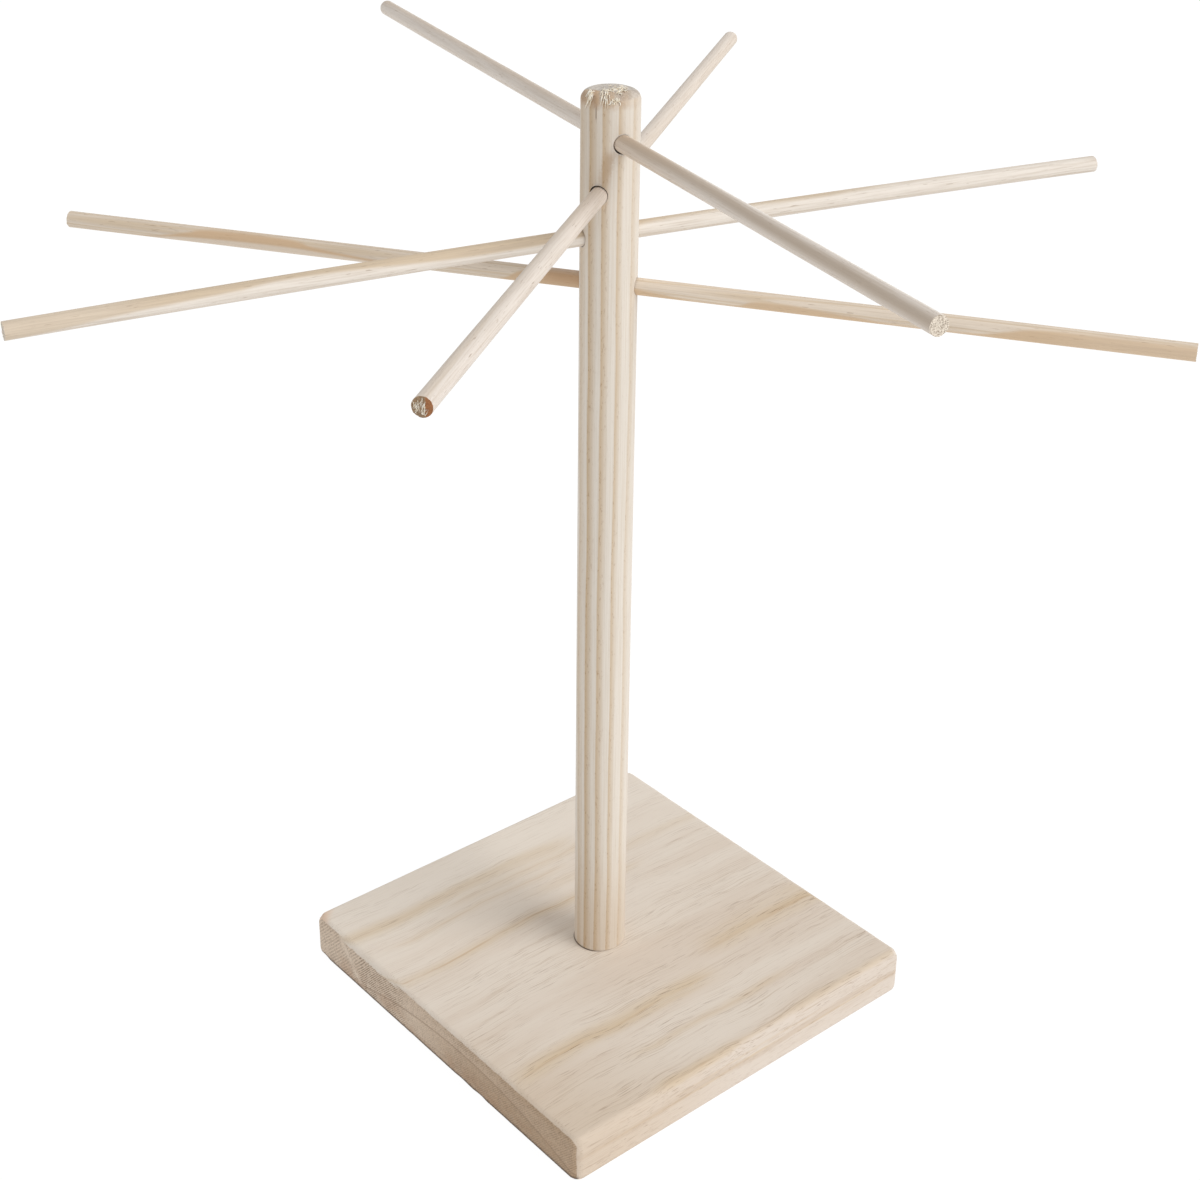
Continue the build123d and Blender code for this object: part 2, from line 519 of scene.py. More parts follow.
    # The end grain, then the painted contact shadow along its foot
    colour = writer.layers(colour, (end, end_colour), (foot, paint(80, 60, 44)))
    flat_height = haze * 0.15 - streaks * 0.25 - dashes * 0.5
    height = writer.layers(flat_height, (end, -saw - pores * 1.4))
    finish_wood(writer, shader, colour, height, streaks * 0.15 + 0.58, 0.16 * MM)
    return material


# How brown the torn rim is across the post, seen towards the torn side: (share from the left
# edge to the right edge, strength) points
rim_browning = ((0, 0.80), (0.09, 0.85), (0.14, 0.55), (0.22, 0.75), (0.26, 1.0), (0.31, 0.70),
                (0.36, 0.35), (0.44, 0.45), (0.50, 0.80), (0.56, 0.60), (0.62, 0.35), (0.72, 0.60),
                (0.80, 0.40), (0.90, 0.20), (1, 0.20))

# Late wood of the post's stripes: outer edge in mm from the pith, width in mm, strength
post_rings = ((122.1, 2.4, 0.6), (119.0, 3.5, 1.0), (114.0, 3.8, 0.9), (107.7, 3.0, 0.8),
              (101.5, 2.8, 0.5))


def post_material(settings):
    """Quarter-sawn pine: strong upright stripes, greyish end grain on the crown."""
    material, writer, shader = new_material("post pine, striped")
    in_mm = (writer.place() - tuple(post_centre)) * (1 / MM)
    x, y, z = in_mm.parts()

    # The stripes draw together a little towards the foot, and waver
    over, depth = turned(x, y, settings.stripe_heading)
    over = over * (z * -0.00022 + 1.0) + (in_mm.noise((0.03, 0.03, 0.014)) * 1.6 - 0.8)
    late = late_wood(from_axis(over - settings.pith_distance / MM, depth), post_rings)
    streaks = in_mm.noise((1.6, 1.6, 0.02), detail=3.0, roughness=0.6)
    specks = in_mm.noise((1.2, 1.2, 0.35), detail=3.0, roughness=0.65).fade(0.57, 0.66)

    # Seen towards the torn side: the crown is grey, and the rim in front of it torn and brown
    toward, right = turned(x, y, settings.torn_heading)
    below_top = (post_high.z - post_centre.z) / MM - z
    end = writer.end_grain()
    pores = in_mm.noise(1.3, detail=4.0, roughness=0.7)
    ragged = in_mm.noise(0.8, detail=3.0) * 3.0 - 1.5
    torn = (right * right * 0.045 + toward + ragged).fade(3.6, 5.2)
    crown_colour = writer.layers(
        settings.end,
        (in_mm.noise(0.25).fade(0.4, 0.6), paint(187, 178, 168)),
        (pores.fade(0.46, 0.66, 0, 0.7), paint(228, 221, 211)),
    )
    rim_colour = writer.layers(
        paint(196, 168, 138),
        (late, paint(158, 122, 92)),
        (pores.fade(0.5, 0.7, 0, 0.45), paint(214, 196, 172)),
    )
    brown = (below_top + ragged).fade(3.4, 7.4, 1, 0) * torn
    brown *= (right * (MM / (2 * post_radius)) + 0.5).along(rim_browning)

    # A stain leads from the top bore to the next, and a short crack runs down from the rim
    stain = abs(below_top * 0.16 + right - 3.6 + ragged).fade(0.8, 3.6, 1, 0) * toward.fade(0, 3)
    stain *= below_top.fade(22.5, 26.5) * below_top.fade(32, 42, 0.5, 0)
    crack = abs(right + 6.1).fade(0.10, 0.24, 1, 0) * toward.fade(0, 2)
    crack *= below_top.fade(4.5, 6.5) * below_top.fade(9.4, 11.0, 0.6, 0)
    colour = writer.layers(
        settings.early,
        (late, settings.late),
        (streaks.fade(0.4, 0.75, 0, 0.4), paint(205, 188, 166)),
        (specks * (late * 0.50 + 0.05), paint(160, 122, 84)),
        (z.fade(-205, -150, 0.25, 0), paint(198, 168, 132)),
        (below_top.fade(120, 5) * right.fade(2, -11, 0.05, 0.22), paint(184, 162, 134)),
        (end.fade(0.05, 0.6), crown_colour),
        (brown, rim_colour),
        (stain, paint(190, 156, 118)),
        (crack, paint(96, 74, 48)),
    )
    flat_height = late * 0.3 - streaks * 0.3 - specks * 0.25
    height = writer.layers(flat_height, (end, pores * 2.0))
    finish_wood(writer, shader, colour, height, streaks * 0.15 + 0.55)
    return material


def rod_frame(way):
    """Turn whose X runs to a rod's front end and whose Z points up."""
    side = Vector((0, 0, 1)).cross(way).normalized()
    return Matrix((way, side, way.cross(side))).transposed()


# Grain of a rod: its wood colour, the rings' spacing in mm, how much of their colour shows, and
# the way they face in degrees (from the rod's side towards its top); a seed; the rings' drift
# along the rod as (share of the length from the back end, mm) points; the side of a tan zone
# (1 above its line, -1 below) and that line as (share, mm above the middle) points; the colours
# of the sawn ends, and how far to the rod's side their late wood begins
RodGrain = namedtuple(
    "RodGrain", "wood spacing strength facing seed drift side zone end_wood end_late end_from"
)
plain_ends = (paint(240, 228, 211), paint(142, 92, 58), 9.0)
no_zone = (1, ((0, 6), (1, 6)))
rod_grains = {
    "rod_top": RodGrain(
        "top_wood", 2.3, 0.12, 150, 3.1, ((0, 1.0), (0.5, 1.6), (1, 2.6)), *no_zone, *plain_ends),
    "rod_upper": RodGrain(
        "upper_wood", 9.0, 0.30, -5, 5.7, ((0, 1.2), (0.45, 2.0), (0.6, 7.6), (1, 5.1)),
        *no_zone, paint(166, 138, 108), paint(172, 116, 76), 1.1),
    "rod_lower": RodGrain(
        "lower_wood", 4.7, 0.20, 30, 8.3, ((0, 3.6), (0.4, 1.2), (0.55, 1.8), (1, 3.0)),
        1, ((0, 3.2), (0.28, 3.1), (0.43, 3.4), (0.596, 0.6), (0.706, 1.6), (0.77, 2.2),
            (0.82, 1.0), (0.875, -0.2), (0.93, -2.2), (0.97, -4.5), (1, -5.5)), *plain_ends),
    "rod_bottom": RodGrain(
        "bottom_wood", 1.15, 0.60, 150, 2.2,
        ((0, 1.3), (0.19, 1.75), (0.49, 0.85), (0.79, 2.2), (1, 1.5)),
        -1, ((0, -2.8), (0.07, -1.6), (0.10, 0.6), (0.125, 3.4), (0.15, 5.0), (0.21, 5.0),
             (0.24, 3.2), (0.27, 1.7), (0.31, -0.3), (0.36, -3.0), (0.40, -2.5), (0.427, 0.5),
             (0.46, 4.4), (0.51, 3.0), (0.56, 0.6), (0.615, -1.0), (0.635, 1.0), (0.655, 2.6),
             (0.69, 1.8), (0.73, 0.2), (0.79, -1.4), (0.85, 1.8), (0.90, 4.4), (1, 4.6)),
        *plain_ends),
}

# Way to the upper edge of two rods as their front side shows them, in degrees from the rod's side towards
# its top. Their painted shade and painted highlights lie across this way
rod_painted_light_up = {"rod_top": 42, "rod_upper": 155}

# Shares of red, green and blue that two rods keep where handling darkened them near the post
rod_warmth = {"rod_top": (0.93, 0.87, 0.80), "rod_upper": (0.96, 0.93, 0.90)}

# Middle of the top rod's band of painted shade, in mm towards that edge, and the lower edge of the lowest
# rod's tan zone, in mm above its middle, both as (share of the length, mm) points
painted_shade_core = ((0, 2.6), (0.5, 1.6), (0.68, 0.7), (0.8, -0.7), (1, -1.5))
zone_rim = ((0, -6), (0.08, -3), (0.14, -0.3), (0.21, 0.2), (0.25, -0.5), (0.29, -1.7),
            (0.33, -3.4), (0.5, -6), (1, -6))


def rod_material(name, settings):
    """Pine dowel whose figure comes from rings that drift through it along its length."""
    grain = rod_grains[name]
    centre, way, length, _ = rod_placement(name)
    material, writer, shader = new_material(f"{name} dowel pine")
    in_mm = writer.out("ShaderNodeMapping", {
        "Vector": writer.place(), "Location": centre, "Rotation": rod_frame(way).to_euler(),
    }, vector_type="TEXTURE") * (1 / MM)
    seeded = in_mm + (grain.seed * 100, grain.seed * 10, grain.seed * 10)
    x, y, z = in_mm.parts()
    share = x * (MM / length) + 0.5

    def depth(degrees_up):
        """How far a place lies in the way that is so many degrees up from the rod's side."""
        return y * cos(radians(degrees_up)) + z * sin(radians(degrees_up))

    # Ring distance: how deep a place lies in the way that the rings face, plus their drift
    waver = seeded.noise((0.012, 0.1, 0.1))
    distance = depth(grain.facing) + share.along(grain.drift) + waver * (grain.spacing * 0.35)
    ring = (distance / grain.spacing).step("FRACT")
    late = ring.ramp(((0.0, 0.0), (0.35, 0.05), (0.70, 0.8), (0.88, 1.0), (1.0, 0.0)))
    in_zone = ((waver * 1.6 + z - share.along(grain.zone)) * grain.side).fade(-0.2, 1.5)
    in_zone *= share.fade(0.87, 0.93, 0.8, 0.6)
    late = (late * grain.strength).most(in_zone)
    streaks = seeded.noise((0.03, 1.5, 1.5), detail=4.0, roughness=0.62)
    dashes = seeded.noise((0.16, 2.2, 2.2), detail=1.0).fade(0.69, 0.75)
    base = getattr(settings, grain.wood)
    colour = writer.layers(
        base,
        (late, settings.late),
        (streaks.fade(0.4, 0.72, 0, 0.45), paint(190, 172, 152)),
        (dashes * 0.5, paint(150, 124, 98)),
    )

    # What only one rod or two have
    front = share.fade(0.49, 0.51)
    up = depth(rod_painted_light_up.get(name, 90))
    if name == "rod_top":
        # Painted light on the top rod: its lower edge paler, as if lit from the floor below, a band of
        # painted shade along its middle, and a painted highlight along its upper edge on the front half
        painted_shade = abs(up - share.along(painted_shade_core)).fade(0.4, 3.3, 1, 0)
        colour = writer.layers(
            colour,
            (up.fade(0.8, -2.2, 0, 0.2), paint(244, 236, 227)),
            (painted_shade * share.fade(0.45, 0.60, 0.45, 0.70), paint(191, 173, 153)),
            (up.fade(2.2, 3.7) * share.fade(0.54, 0.74, 0.2, 0.85), paint(252, 246, 238)),
        )
    if name == "rod_upper":
        # Painted shade: the upper half of the second rod darker
        colour = writer.layers(colour, (up.fade(-1.2, 1.6, 0, 0.45), paint(216, 203, 189)))
    if name in rod_warmth:
        warm = front * share.fade(0.56, 0.72, 1, 0)
        colour = writer.layers(colour, (warm, colour * rod_warmth[name]))
    if name == "rod_bottom":
        # The lowest rod darker and orange-brown on its upper side, over the last two centimetres before
        # it enters the back of the post
        brown_exit = share.fade(0.436, 0.472) * share.fade(0.49, 0.50, 1, 0)
        colour = writer.layers(
            colour,
            (in_zone * share.fade(0.30, 0.60, 0.7, 0.45), paint(212, 176, 138)),
            ((z - share.along(zone_rim)).fade(0.7, -0.7, 0, 0.85), base),
        )
        colour = writer.layers(
            colour,
            (front, colour * (1.13, 1.13, 1.13)),
            (brown_exit * z.fade(-3.4, 1.0, 0.08, 0.30), paint(176, 120, 72)),
        )

    end = writer.end_grain()
    pores = seeded.noise(2.0, detail=3.0, roughness=0.7).fade(0.48, 0.62)
    end_colour = writer.layers(
        grain.end_wood,
        (pores * 0.75, paint(140, 116, 94)),
        (y.fade(grain.end_from - 0.3, grain.end_from + 0.3), grain.end_late),
    )
    colour = writer.layers(colour, (end, end_colour))
    height = writer.layers(late * 0.2 - streaks * 0.4, (end, pores * -1.5))
    finish_wood(writer, shader, colour, height, streaks * 0.15 + 0.55)
    return material


def fibre_material(settings):
    """Dry torn fibre, pale, with a tone that changes at random."""
    material, writer, shader = new_material("torn pine fibre")
    tone = writer.place().noise(900)
    colour = writer.layers(settings.pale, (tone.fade(0.35, 0.65), paint(236, 222, 198)))
    finish_wood(writer, shader, colour, tone, tone.fade(0, 1, 0.6, 0.8), 0.05 * MM)
    return material


def screw_material(settings):
    """Zinc plating with fine turning marks about the screw's axis."""
    material, writer, shader = new_material("zinc plated steel")
    centred = writer.place() - tuple(post_centre)
    x, y, z = centred.parts()
    rings = writer.together(from_axis(x, y), 0.0, z).noise(9000)
    blotches = centred.noise(400, detail=3.0)
    worn = (blotches.fade(0.35, 0.7, 0, 0.5), paint(165, 165, 160))
    writer.feed(shader, {
        "Base Color": writer.layers(settings.metal, worn),
        "Metallic": 1.0,
        "Roughness": blotches.fade(0.3, 0.7, 0.28, 0.45),
        "Normal": writer.out("ShaderNodeBump", {"Strength": 0.3, "Distance": 0.02 * MM, "Height": rings}),
    })
    return material


def skin_loops(name, loops, joined=False, poles=(None, None)):
    """Mesh of quads between loops of equally many points, with its faces turned outwards.

    The last loop joins the first, or a pole closes each end with a fan."""
    count = len(loops[0])
    points = np.concatenate([np.asarray(loop, float) for loop in loops])
    faces = []
    for row in range(len(loops) if joined else len(loops) - 1):
        here, there = row * count, ((row + 1) % len(loops)) * count
        for i in range(count):
            j = (i + 1) % count
            faces.append((here + i, here + j, there + j, there + i))
    for pole, start in zip(poles, (0, (len(loops) - 1) * count)):
        if pole is not None:
            tip = len(points)
            points = np.vstack([points, pole])
            faces += [(start + i, start + (i + 1) % count, tip) for i in range(count)]
    mesh = bpy.data.meshes.new(name)
    mesh.from_pydata(points.tolist(), [], faces)
    work = bmesh.new()
    work.from_mesh(mesh)
    bmesh.ops.recalc_face_normals(work, faces=work.faces)
    work.to_mesh(mesh)
    work.free()
    mesh.validate()
    return mesh


def object_from(mesh, name):
    piece = bpy.data.objects.new(name, mesh)
    bpy.context.scene.collection.objects.link(piece)
    return piece


def object_from_work(work, name):
    """Object from a bmesh, which is freed."""
    mesh = bpy.data.meshes.new(name)
    work.to_mesh(mesh)
    work.free()
    return object_from(mesh, name)


def baked(piece):
    """Turns a piece and its modifiers into one plain mesh."""
    bpy.context.view_layer.update()
    evaluated = piece.evaluated_get(bpy.context.evaluated_depsgraph_get())
    mesh = bpy.data.meshes.new_from_object(evaluated)
    piece.modifiers.clear()
    piece.data = mesh
    mesh.name = piece.name
    if not mesh.polygons:
        raise RuntimeError(f"{piece.name} came out empty")


def cut(piece, cutters):
    """Cuts the shapes out of a piece and deletes them."""
    for cutter in cutters:
        modifier = piece.modifiers.new("cut", "BOOLEAN")
        modifier.operation = "DIFFERENCE"
        modifier.solver = "EXACT"
        modifier.object = cutter
    baked(piece)
    for cutter in cutters:
        bpy.data.objects.remove(cutter)


def shade(piece, angle=38):
    """Smooth faces with sharp edges where the surface turns by more than the angle."""
    piece.data.shade_smooth()
    piece.data.set_sharp_from_angle(angle=radians(angle))


def places_and_normals(mesh):
    """Every vertex's place and normal, as they are before any is moved."""
    arrays = []
    for source, label in ((mesh.vertices, "co"), (mesh.vertex_normals, "vector")):
        values = np.zeros(len(mesh.vertices) * 3, np.float32)
        source.foreach_get(label, values)
        arrays.append(values.reshape(-1, 3))
    return arrays


def move_vertices(mesh, places):
    mesh.vertices.foreach_set("co", places.astype(np.float32).ravel())
    mesh.update()


def mark_end_grain(mesh, grain, low=0.45, high=0.9):
    """Stores how far the surface cuts across the grain, from 0 along it to 1 across it."""
    _, normals = places_and_normals(mesh)
    facing = np.abs(normals @ np.array(grain, float))
    share = np.clip((facing - low) / (high - low), 0, 1)
    share = share * share * (3 - 2 * share)
    attribute = mesh.attributes.new("end_grain", "FLOAT", "POINT")
    attribute.data.foreach_set("value", share.astype(np.float32))


def dress(piece, material, slot, body, *nodes):
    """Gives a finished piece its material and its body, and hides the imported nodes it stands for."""
    piece.data.materials.clear()
    piece.data.materials.append(material)
    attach(piece, body)
    if nodes:
        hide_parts(*nodes)


def roughness_at(place, scale, shift=(0, 0, 0)):
    """Noise from 0 to 1 at a place."""
    return noise.noise(place * scale + Vector(shift)) * 0.5 + 0.5


def rounded_square(half_side, radius, along=150, round_steps=8):
    """Points round a square with round corners, and the way outwards at each."""
    points, ways = [], []
    centre = half_side - radius
    for quarter in range(4):
        turn = Matrix.Rotation(quarter * pi / 2, 2)
        for step in range(along):
            points.append(turn @ Vector((half_side, centre * (2 * step / along - 1))))
            ways.append(turn @ Vector((1, 0)))
        for step in range(round_steps):
            angle = pi / 2 * step / round_steps
            way = Vector((cos(angle), sin(angle)))
            points.append(turn @ (Vector((centre, centre)) + radius * way))
            ways.append(turn @ way)
    return np.array(points), np.array(ways)


def board_mesh(settings):
    """The board as loops: up its side, over the top to the screw hole, down and out again."""
    half = (board_high.x - board_low.x) / 2
    thick = board_high.z - board_low.z
    top_r, foot_r = settings.top_radius, settings.foot_radius
    straight = thick - top_r - foot_r
    outline, ways = rounded_square(half, settings.corner_radius)
    hole = np.array(post_centre.xy)
    toward = outline - hole
    toward /= np.linalg.norm(toward, axis=1)[:, None]
    foot_steps, side_steps, top_steps, face_steps, underside_steps = 4, 14, 9, 34, 24

    def outline_loop(inset, height):
        return np.column_stack([outline - inset * ways, np.full(len(outline), height)])

    def hole_loop(radius, height):
        return np.column_stack([hole + radius * toward, np.full(len(outline), height)])

    def loops_between(first, last, steps):
        return [first + (last - first) * step / steps for step in range(1, steps)]

    def quarter_turn(steps):
        return [pi / 2 * step / steps for step in range(steps + 1)]

    loops = [outline_loop(foot_r * (1 - sin(turn)), foot_r * (1 - cos(turn)))
             for turn in quarter_turn(foot_steps)]
    loops += [outline_loop(0, foot_r + straight * step / side_steps) for step in range(1, side_steps)]
    loops += [outline_loop(top_r * (1 - cos(turn)), thick - top_r * (1 - sin(turn)))
              for turn in quarter_turn(top_steps)]
    hole_top = hole_loop(settings.hole_radius, thick)
    sink = hole_loop(settings.sink_radius, 0)
    loops += loops_between(loops[-1], hole_top, face_steps)
    loops += [hole_top, hole_loop(settings.hole_radius, thick / 2)]
    loops += [hole_loop(settings.hole_radius, settings.sink_depth), sink]
    loops += loops_between(sink, loops[0], underside_steps)
    mesh = skin_loops("board", loops, joined=True)
    wear_board(mesh, settings, half)
    return mesh


def wear_board(mesh, settings, half):
    """Sands the edges unevenly and roughens the sawn ends, always inwards."""
    slow_share, fast_share_planed, fast_share_sawn = 0.99, 0.44, 1.21
    front_corner_share, sawn_depth = 0.2, 0.10 * MM
    chip_depth, chip_height, chip_threshold = 2.6 * MM, 3 * MM, 0.56
    places, normals = places_and_normals(mesh)
    from_middle = np.abs(places[:, :2]).max(axis=1)
    for index in np.flatnonzero(from_middle > half - settings.top_radius - 1 * MM):
        place, way = Vector(places[index]), Vector(normals[index])

        # Both are nought on the flat faces. The second reaches one in the middle of a corner
        edge = 1 - max(abs(way.x), abs(way.y), abs(way.z))
        corner = abs(way.x * way.y * way.z) * 3 * sqrt(3)
        slow, fast = roughness_at(place, 22), roughness_at(place, 160, (3, 5, 7))
        sawn = abs(way.x) > abs(way.y)
        uneven = slow_share * slow + (fast_share_sawn if sawn else fast_share_planed) * fast
        front = place.x < 0 and place.y < 0
        depth = settings.edge_wear * edge * uneven
        depth += settings.corner_wear * corner * (front_corner_share if front else 1)
        if sawn:
            depth += sawn_depth * fast
            if place.z < chip_height:
                chip = max(0.0, roughness_at(place, 75, (9, 1, 4)) - chip_threshold)
                depth += chip_depth * chip * (1 - place.z / chip_height)
        places[index] = place - way * depth
    move_vertices(mesh, places)


def post_profile(settings):
    """Radii and heights of the post's half section, from the pilot hole round to the crown.

    Returns them with the height of the rim's middle."""
    foot, radius = post_low.z, post_radius
    rim, crown, pilot, gap = (
        settings.rim_radius, settings.crown, settings.pilot_radius, settings.foot_break)
    crown_radius = (radius**2 + crown**2) / (2 * crown)
    ball = post_high.z - crown_radius
    rim_height = ball + sqrt((crown_radius - rim) ** 2 - (radius - rim) ** 2)
    rim_end = atan2(rim_height - ball, radius - rim)
    foot_steps, side_steps, rim_steps, crown_steps = 6, 265, 16, 16
    profile = [(pilot, foot + settings.pilot_depth * share) for share in (1, 0.5, 0)]
    for step in range(1, foot_steps + 1):
        profile.append((pilot + (radius - gap - pilot) * step / foot_steps, foot))
    for step in range(side_steps + 1):
        profile.append((radius, foot + gap + (rim_height - foot - gap) * step / side_steps))
    for step in range(1, rim_steps + 1):
        angle = rim_end * step / rim_steps
        profile.append((radius - rim + rim * cos(angle), rim_height + rim * sin(angle)))
    last = profile[-1][0]
    for step in range(1, crown_steps):
        at = last * (1 - step / crown_steps)
        profile.append((at, ball + sqrt(crown_radius**2 - at**2)))
    return profile, rim_height


# Torn patches of the rim, and the crack below it. Turns are from the torn side, in degrees
rim_tears = ((-40, 7), (-14, 8), (18, 11))
rim_crack_turn = -27.5
crack_half_width, crack_depth = 0.12 * MM, 0.3 * MM
crack_middle, crack_reach = 8.2 * MM, 4.2 * MM


def post_mesh(settings):
    """Turned post with a hairline crack below its torn rim."""
    profile, _ = post_profile(settings)
    columns = 168
    crack = settings.torn_heading + radians(rim_crack_turn)
    crack_width = crack_half_width / post_radius
    angles = [crack + 2 * pi * step / columns for step in range(columns)]
    angles = sorted(angles[1:] + [crack - crack_width, crack, crack + crack_width])
    spokes = np.array([(cos(angle), sin(angle)) for angle in angles])
    middle = np.array(post_centre.xy)
    top = post_high.z
    loops = []
    for reach, height in profile:
        depth = np.zeros(len(angles))
        if post_radius - reach < 1 * MM:
            share = np.clip(1 - abs(height - (top - crack_middle)) / crack_reach, 0, 1) ** 0.5
            depth[np.isclose(angles, crack)] = crack_depth * share
        points = middle + spokes * (reach - depth)[:, None]
        loops.append(np.column_stack([points, np.full(len(angles), height)]))
    return skin_loops("post", loops, poles=((*middle, profile[0][1]), (*middle, top)))


def bores(settings):
    """Middle and level way of each bore. A rod's slide gives the heading of its bore."""
    height_shares = (1.0, 0.664, 0.340, 0.0)
    sides = (-0.2 * MM, -1.8 * MM, -1.6 * MM, 1.6 * MM)
    lowest = post_high.z - settings.bore_drop - settings.bore_stack
    found = []
    for share, side, name in zip(height_shares, sides, rod_grains):
        way = Vector((slides[name].x, slides[name].y, 0)).normalized()
        middle = Vector((post_centre.x, post_centre.y, lowest + settings.bore_stack * share))
        found.append((middle + side * Vector((-way.y, way.x, 0)), way))
    return found


def bore_cutter(middle, way, radius, segments=96):
    """Round cutter through the post."""
    work = bmesh.new()
    place = Matrix.Translation(middle) @ way.to_track_quat("Z", "Y").to_matrix().to_4x4()
    bmesh.ops.create_cone(work, cap_ends=True, segments=segments, radius1=radius,
                          radius2=radius, depth=3 * post_radius, matrix=place)
    return object_from_work(work, "cutter")


def wear_post(mesh, settings, bore_radius):
    """Breaks the edges of the bores and roughens the rim and the crown where the tool tore."""
    mouth_wear, mouth_least, mouth_more = 1.4 * MM, 0.02 * MM, 0.16 * MM
    rim_zone, crown_depth, torn_depth, slow_depth = 6 * MM, 0.10 * MM, 0.55 * MM, 0.12 * MM
    share_at_side = 0.3
    middle = Vector((post_centre.x, post_centre.y, 0))
    bore_list = bores(settings)
    top = post_high.z
    places, normals = places_and_normals(mesh)
    for index, start in enumerate(places):
        place = Vector(start) - middle
        outward = Vector((place.x, place.y, 0))
        reach = outward.length
        if reach > post_radius - 0.6 * MM and place.z < top - rim_zone:
            depth = 0.0
            for bore, way in bore_list:
                offset = Vector(start) - bore
                away = (offset - way * offset.dot(way)).length - bore_radius
                if -0.05 * MM < away < mouth_wear:
                    ragged = roughness_at(place, 900, (bore.z * 99, 0, 0))
                    depth += (1 - away / mouth_wear) ** 2 * (mouth_least + mouth_more * ragged)
            if depth:
                places[index] -= np.array(outward.normalized() * depth)
        elif place.z > top - rim_zone:
            turn = degrees(atan2(place.y, place.x) - settings.torn_heading + pi) % 360 - 180
            torn = sum(max(0.0, 1 - abs(turn - at) / (1.5 * half)) for at, half in rim_tears)
            depth = (crown_depth + torn_depth * torn) * roughness_at(place, 700)
            depth += slow_depth * roughness_at(place, 190, (4, 2, 8))
            if reach > post_radius - 0.1 * MM:
                depth *= share_at_side
            places[index] -= normals[index] * depth
    move_vertices(mesh, places)


def geometry_tree(name, **sockets):
    """Geometry node tree with a material and other named inputs, and the writer for its nodes."""
    tree = bpy.data.node_groups.new(name, "GeometryNodeTree")
    tree.interface.new_socket("Geometry", in_out="OUTPUT", socket_type="NodeSocketGeometry")
    for kind, labels in {**sockets, "Material": ("Material",)}.items():
        for label in labels:
            tree.interface.new_socket(label, in_out="INPUT", socket_type=f"NodeSocket{kind}")
    writer = NodeWriter(tree)
    given = writer.add("NodeGroupInput").outputs
    return writer, {output.name: Wire(writer, output) for output in given}


def run_tree(piece, tree, values):
    """Runs a tree on a piece with the values set by its sockets' identifiers, and bakes it."""
    modifier = piece.modifiers.new(tree.name, "NODES")
    modifier.node_group = tree
    for item in tree.interface.items_tree:
        if item.in_out == "INPUT" and item.name in values:
            modifier[item.identifier] = values[item.name]
    baked(piece)


def close_tree(writer, given, geometry):
    """Ends a tree with real geometry that has its material, and returns the tree."""
    real = writer.out("GeometryNodeRealizeInstances", {0: geometry})
    inputs = {"Geometry": real, "Material": given["Material"]}
    writer.add("NodeGroupOutput", {0: writer.out("GeometryNodeSetMaterial", inputs)})
    return writer.tree


def sharp_by_angle(writer, geometry, angle):
    """Smooth faces, sharp where two of them meet at more than the angle."""
    smooth = writer.out("GeometryNodeSetShadeSmooth", {"Geometry": geometry})
    sharp = writer.out("GeometryNodeInputMeshEdgeAngle").step("GREATER_THAN", angle)
    inputs = {"Geometry": smooth, "Selection": sharp, "Shade Smooth": False}
    return writer.out("GeometryNodeSetShadeSmooth", inputs, domain="EDGE")


def set_in_place(writer, given, geometry):
    inputs = {"Geometry": geometry, "Translation": given["Centre"], "Rotation": given["Turn"]}
    return writer.out("GeometryNodeTransform", inputs)


def tapered_tube(writer, curve, sides, radius, taper):
    """Tube along a curve. Its taper says from where to where it changes, and from what to what."""
    along = writer.out("GeometryNodeSplineParameter", output="Factor")
    ring = writer.out("GeometryNodeCurvePrimitiveCircle", {"Resolution": sides, "Radius": radius})
    return writer.out("GeometryNodeCurveToMesh", {
        "Curve": curve, "Profile Curve": ring, "Scale": along.fade(*taper), "Fill Caps": True})


def dowel_tree():
    """A round dowel along its own X, slightly uneven, with sawn ends, set in its place.

    Its middle, where the post holds it, is straight, and its ends droop by the bow."""
    writer, given = geometry_tree(
        "Dowel", Float=("Radius", "Length", "Bow", "Waviness", "End Roughness", "Seed"),
        Int=("Sides", "Steps", "End Rings"), Vector=("Centre",), Rotation=("Turn",),
    )
    mesh, front, back = writer.outs("GeometryNodeMeshCylinder", ("Mesh", "Top", "Bottom"), {
        "Vertices": given["Sides"], "Side Segments": given["Steps"],
        "Fill Segments": given["End Rings"], "Radius": given["Radius"], "Depth": given["Length"],
    }, fill_type="TRIANGLE_FAN")
    marked = writer.out("GeometryNodeStoreNamedAttribute", {
        "Geometry": mesh, "Name": "end_grain", "Value": front.most(back),
    }, data_type="FLOAT", domain="FACE")

    # The side swells and shrinks slowly along the dowel; the ends are torn by the saw
    place = writer.out("GeometryNodeInputPosition")
    seeded = place + given["Seed"]
    swell = ((seeded * (1, 1, 0.12)).noise(220) - 0.5) * given["Waviness"] * 2.0
    side_move = (place * (1, 1, 0)).step("NORMALIZE") * swell
    torn = (seeded * (1, 0.45, 1)).noise(900, detail=4.0, roughness=0.65).fade(0.3, 0.7)
    end_move = writer.together(0.0, 0.0, torn * given["End Roughness"] * (back - front))
    moved = writer.out("GeometryNodeSetPosition", {"Geometry": marked, "Offset": side_move + end_move})
    along_x = writer.out("GeometryNodeTransform", {"Geometry": moved, "Rotation": Euler((0, pi / 2, 0))})
    share = writer.out("GeometryNodeInputPosition").parts()[0] / (given["Length"] * 0.5)
    droop = writer.together(0.0, 0.0, -(share * share * given["Bow"]))
    bowed = writer.out("GeometryNodeSetPosition", {"Geometry": along_x, "Offset": droop})
    placed = set_in_place(writer, given, bowed)
    return close_tree(writer, given, sharp_by_angle(writer, placed, radians(45)))


strand_inputs = {
    "Geometry": ("Geometry",), "Int": ("Seed",), "Float": ("Length", "Width", "Lift"),
}


